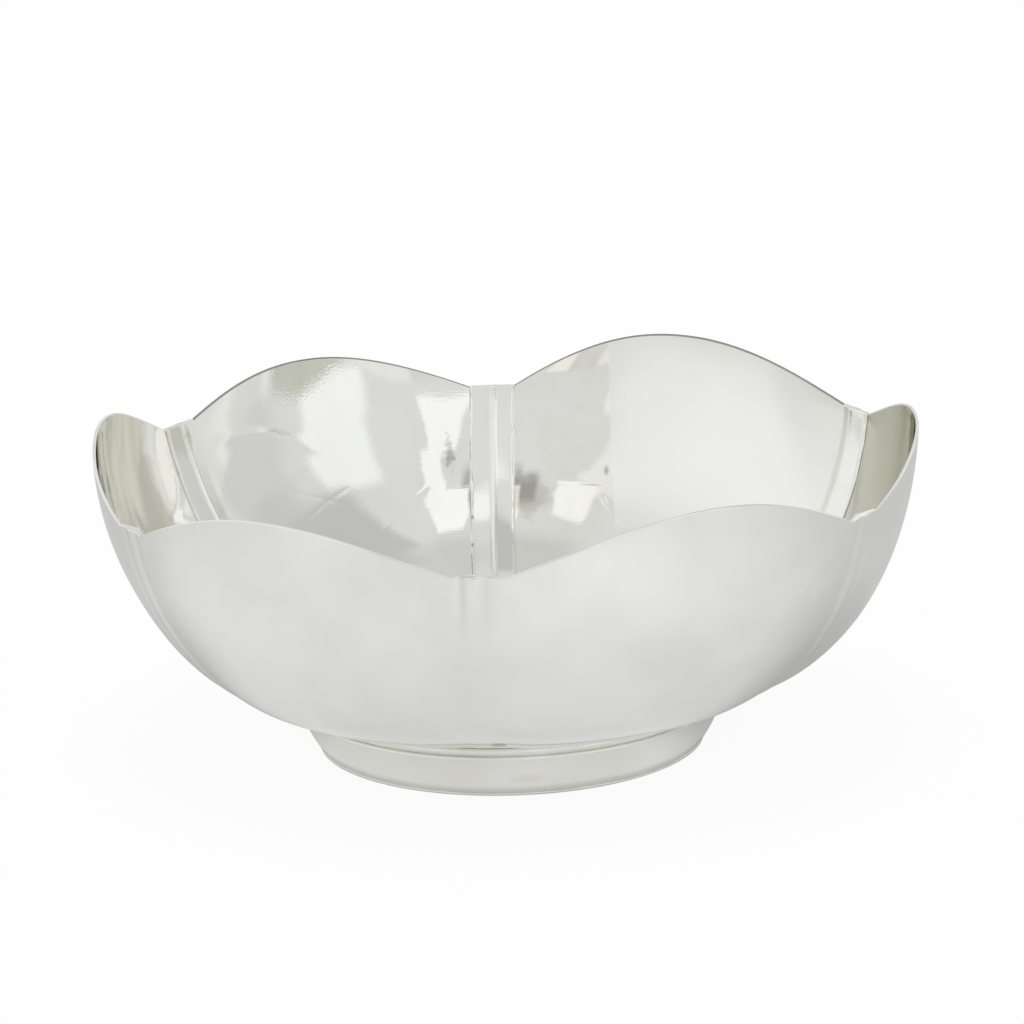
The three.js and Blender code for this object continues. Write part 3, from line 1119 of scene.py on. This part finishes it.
@dataclass(frozen=True)
class Studio:
    """White tent, pale floor, one soft lamp and the camera.

    The floor's own sizes and the camera's place are in millimetres, and its
    spans, which the nodes read, are in metres. Levels are shares of white.
    """

    paper: str = "F0F1EE"
    white: str = "FEFEFE"
    tent_white: str = "FDFEFC"
    floor_radius: float = 9000.0
    floor_heights: Pair = (-1.0, -0.02)
    floor_facets: int = 96
    shadow: Fade = Fade((0.05, 0.2), (0.94, 1.0))
    mirrored_share: float = 0.8
    # The floor as the silver mirrors it is painted light: a painted shadow towards the foot and the
    # sides, painted light beside the foot, and a painted pool of light in front.
    floor_front: Triple = (-0.17, -0.985, 0.0)
    near: Fade = Fade((0.0, 0.6), (0.56, 0.72))
    floor_far: float = 0.78
    floor_span: Pair = (0.1, 0.2)
    side: Fade = Fade((-0.35, 0.6), (0.74, 1.0))
    painted_contact_shadow: Fade = Fade((0.0603, 0.0633), (0.6, 1.0))
    painted_foot_glow: Fade = Fade((0.066, 0.085), (0.05, 0.0))
    painted_light_pool: Fade = Fade((0.0, 0.19), (0.11, 0.0))
    painted_light_pool_place: Triple = (0.1, -0.3, 0.0)
    sway: float = 0.07
    sway_scale: float = 2.4
    tent: float = 0.73
    panels: tuple[TentPanel, ...] = (
        TentPanel(-180.0, 180.0, 72.0, 99.0, 0.63, 4.0, 14.0),
        TentPanel(-140.0, -30.0, -12.0, 48.0, 0.86, 2.1, 3.9),
        TentPanel(-110.0, -58.0, 6.0, 38.0, 0.9, 12.0, 6.0),
        TentPanel(-44.0, -24.0, 45.0, 59.5, 0.97, 3.0, 3.0),
        TentPanel(-12.5, 2.6, 36.5, 56.0, 0.46, 4.6, 6.2),
        TentPanel(-2.4, 25.0, 44.5, 67.3, 0.99, 1.8, 2.0),
        TentPanel(7.5, 19.5, 7.9, 28.5, 0.97, 1.4, 2.2),
        TentPanel(37.0, 63.4, -12.0, 35.0, 0.94, 4.5, 5.8),
        TentPanel(76.0, 150.0, -12.0, 77.0, 0.6, 20.0, 8.0),
        TentPanel(56.0, 90.5, 35.0, 70.0, 0.55, 9.0, 9.2),
        TentPanel(13.5, 22.5, 26.0, 46.5, 0.98, 1.2, 3.0),
        TentPanel(79.0, 150.0, -12.0, 24.0, 0.66, 5.0, 5.0),
        TentPanel(-34.0, -2.3, 21.0, 39.5, 0.74, 4.2, 5.3),
        TentPanel(25.0, 39.5, 12.0, 60.4, 0.75, 4.8, 6.1),
    )
    lamp_power: float = 6.0
    lamp_size: Pair = (1.6, 1.2)
    lamp_place: Triple = (0.1, -0.75, 1.5)
    lamp_tilt: float = -22.0
    sensor: float = 36.0
    photo_pixels: float = 1024.0
    clip: Pair = (0.05, 60.0)
    distance: float = 1457.7
    elevation: float = 15.847
    roll: float = 1.747
    focal_pixels: float = 4638.6
    offset_right: float = 3.97
    offset_up: float = 87.17
    aim_height: float = 45.0

    def painted_floor_level(self, nodes: Shading, place: Socket, far: Socket) -> Socket:
        """How bright the silver mirrors the floor, as painted light.

        A painted shadow darkens it towards the foot and the sides, and painted
        light raises it a little beside the foot and in one soft pool in front of
        the bowl.

        Args:
            nodes: the floor's nodes.
            place: object coordinates.
            far: distance from the bowl's axis.

        Returns:
            A share of white.
        """
        way = nodes.vector("NORMALIZE", place)
        facing = nodes.vector("DOT_PRODUCT", way, self.floor_front, out="Value")
        aside = nodes.vector("DISTANCE", place, self.painted_light_pool_place, out="Value")
        near = self.near.level(nodes, facing)
        level = nodes.ramp(far, self.floor_span, (near, self.floor_far))
        for fade, value in ((self.side, facing), (self.painted_contact_shadow, far)):
            level = nodes.maths("MULTIPLY", level, fade.level(nodes, value))
        for fade, value in ((self.painted_foot_glow, far), (self.painted_light_pool, aside)):
            level = nodes.maths("ADD", level, fade.level(nodes, value))
        return level

    def build_floor(self) -> None:
        """Makes the floor: pale paper that keeps the bowl's shadow and runs out into white;
        mirrored, it shows painted shadow and painted light.
        """
        low, top = self.floor_heights
        outline = np.array([[0.0, low], [self.floor_radius, low], [self.floor_radius, top],
                            [0.0, top]])
        disc = turned_mesh("studio_floor", outline, self.floor_facets, closed=False)
        material = bpy.data.materials.new("matt_white_paper")
        nodes = Shading(material)
        paper = nodes.add("BsdfDiffuse", {"Color": linear(self.paper)}).outputs["BSDF"]
        ray = nodes.add("LightPath").outputs
        place = nodes.add("TexCoord").outputs["Object"]
        far = nodes.vector("LENGTH", place, out="Value")
        seen = nodes.maths("MULTIPLY", ray["Is Camera Ray"], self.shadow.level(nodes, far))
        mirrored = nodes.maths("MAXIMUM", ray["Is Glossy Ray"], ray["Is Transmission Ray"])
        share = nodes.maths("MULTIPLY_ADD", mirrored, self.mirrored_share, seen)
        # Mirrored rays see the floor's white at the painted level: painted shadow and a painted
        # pool of light.
        floor_white_and_painted_light = nodes.blend(mirrored, 1.0, self.painted_floor_level(nodes, place, far))
        white = nodes.add("Emission", {"Color": linear(self.white), "Strength": floor_white_and_painted_light})
        mix = nodes.add("MixShader", {0: share, 1: paper, 2: white.outputs["Emission"]})
        nodes.add("OutputMaterial", {"Surface": mix.outputs["Shader"]})
        disc.data.materials.append(material)

    def build_lamp(self) -> None:
        """Makes the soft overhead lamp that fills the floor and gives the bowl its shadow."""
        data = bpy.data.lights.new("soft_overhead", "AREA")
        data.shape = "RECTANGLE"
        data.size, data.size_y = self.lamp_size
        data.energy = self.lamp_power
        lamp = link_object("soft_overhead", data)
        lamp.location = self.lamp_place
        lamp.rotation_euler = (math.radians(self.lamp_tilt), 0, 0)
        lamp.visible_glossy = False
        lamp.visible_camera = False

    def build_tent(self) -> None:
        """Makes the tent of soft light, with white behind it for the camera.

        A slow noise sways each direction a little, so that the panels' edges
        hang unevenly. The tent is the same behind the bowl as in front.
        """
        world = bpy.data.worlds.new("light_tent")
        bpy.context.scene.world = world
        nodes = Shading(world)
        way = nodes.add("TexCoord").outputs["Generated"]
        folds = nodes.noise(way, self.sway_scale, detail=2.5, out="Color")
        lean = nodes.vector("SUBTRACT", folds, (0.5, 0.5, 0.5))
        swayed = nodes.vector("MULTIPLY_ADD", lean, (2 * self.sway,) * 3, way)
        part = nodes.parts(nodes.vector("NORMALIZE", swayed))
        bearing = nodes.maths("ARCTAN2", part["X"], nodes.maths("ABSOLUTE", part["Y"]))
        height = nodes.maths("ARCSINE", part["Z"])
        level: Any = self.tent
        for panel in self.panels:
            level = nodes.blend(panel.share(nodes, bearing, height), level, panel.level)
        light = nodes.add("Background", {"Color": linear(self.tent_white), "Strength": level})
        white = nodes.add("Background", {"Color": linear(self.white), "Strength": 1.0})
        ray = nodes.add("LightPath").outputs["Is Camera Ray"]
        mix = nodes.add("MixShader", {0: ray, 1: light.outputs["Background"],
                                      2: white.outputs["Background"]})
        nodes.add("OutputWorld", {"Surface": mix.outputs["Shader"]})

    def build_camera(self) -> None:
        """Makes the camera at the photograph's place, turned a little about its own axis."""
        data = bpy.data.cameras.new("studio_camera")
        data.sensor_width = self.sensor
        data.lens = self.focal_pixels / self.photo_pixels * self.sensor
        data.clip_start, data.clip_end = self.clip
        camera = link_object("studio_camera", data)
        bpy.context.scene.camera = camera
        e, roll = math.radians(self.elevation), math.radians(self.roll)
        ahead, right = Vector((0, math.cos(e), -math.sin(e))), Vector((1, 0, 0))
        up = Vector((0, math.sin(e), math.cos(e)))
        level_x = self.offset_right * math.cos(roll) + self.offset_up * math.sin(roll)
        level_y = self.offset_up * math.cos(roll) - self.offset_right * math.sin(roll)
        aim = (ahead * self.focal_pixels + right * level_x + up * level_y).normalized()
        side = aim.cross(right * math.sin(roll) + up * math.cos(roll)).normalized()
        turn = Matrix((side, side.cross(aim), -aim)).transposed().to_4x4()
        place = Vector((0, 0, self.aim_height)) - ahead * self.distance
        camera.matrix_world = Matrix.Translation(place * MM) @ turn

    def build(self) -> None:
        """Makes the floor, the tent, the lamp and the camera."""
        self.build_floor()
        self.build_tent()
        self.build_lamp()
        self.build_camera()
        bpy.context.scene.view_settings.view_transform = "Standard"


def dress(piece: Piece, *finishes: bpy.types.Material) -> None:
    """Gives a piece its finishes outside, inside and along the edge."""
    for finish in finishes:
        piece.data.materials.append(finish)


def main() -> None:
    """Builds and dresses the bowl in order, then the studio."""
    logging.basicConfig(level=logging.INFO, format="%(name)s: %(message)s")
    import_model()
    form = BowlForm()
    silver = {finish: finish.value.build() for finish in Finish}
    outer, inner = silver[Finish.OUTSIDE], silver[Finish.INSIDE]
    strap, foot = silver[Finish.STRAP], silver[Finish.FOOT]
    insides = {Lobe.BACK_RIGHT: silver[Finish.HAZE_AND_PAINTED_REFLECTIONS], Lobe.LEFT: silver[Finish.LEFT_UPPER_GREY],
               Lobe.RIGHT: silver[Finish.RIGHT_OLIVE_GREY]}
    edges = {Lobe.BACK_RIGHT: silver[Finish.EDGE], Lobe.BACK_LEFT: silver[Finish.EDGE]}
    for lobe, piece in zip(Lobe, LobeShells(form).build_all()):
        dress(piece, outer, insides.get(lobe, inner), edges.get(lobe, outer))
    for fold, piece in zip(Fold, FoldStraps(form).build_all()):
        dress(piece, silver[Finish.FRONT_FOLD_PAINTED_SHADE] if fold is Fold.FRONT else outer, strap, strap)
    dress(BowlFloor(form).build(), outer, inner, inner)
    for piece in FootRing(form).build_all():
        dress(piece, foot, foot, foot)
    Studio().build()
    log.info("sizes written")


if __name__ == "__main__":
    main()
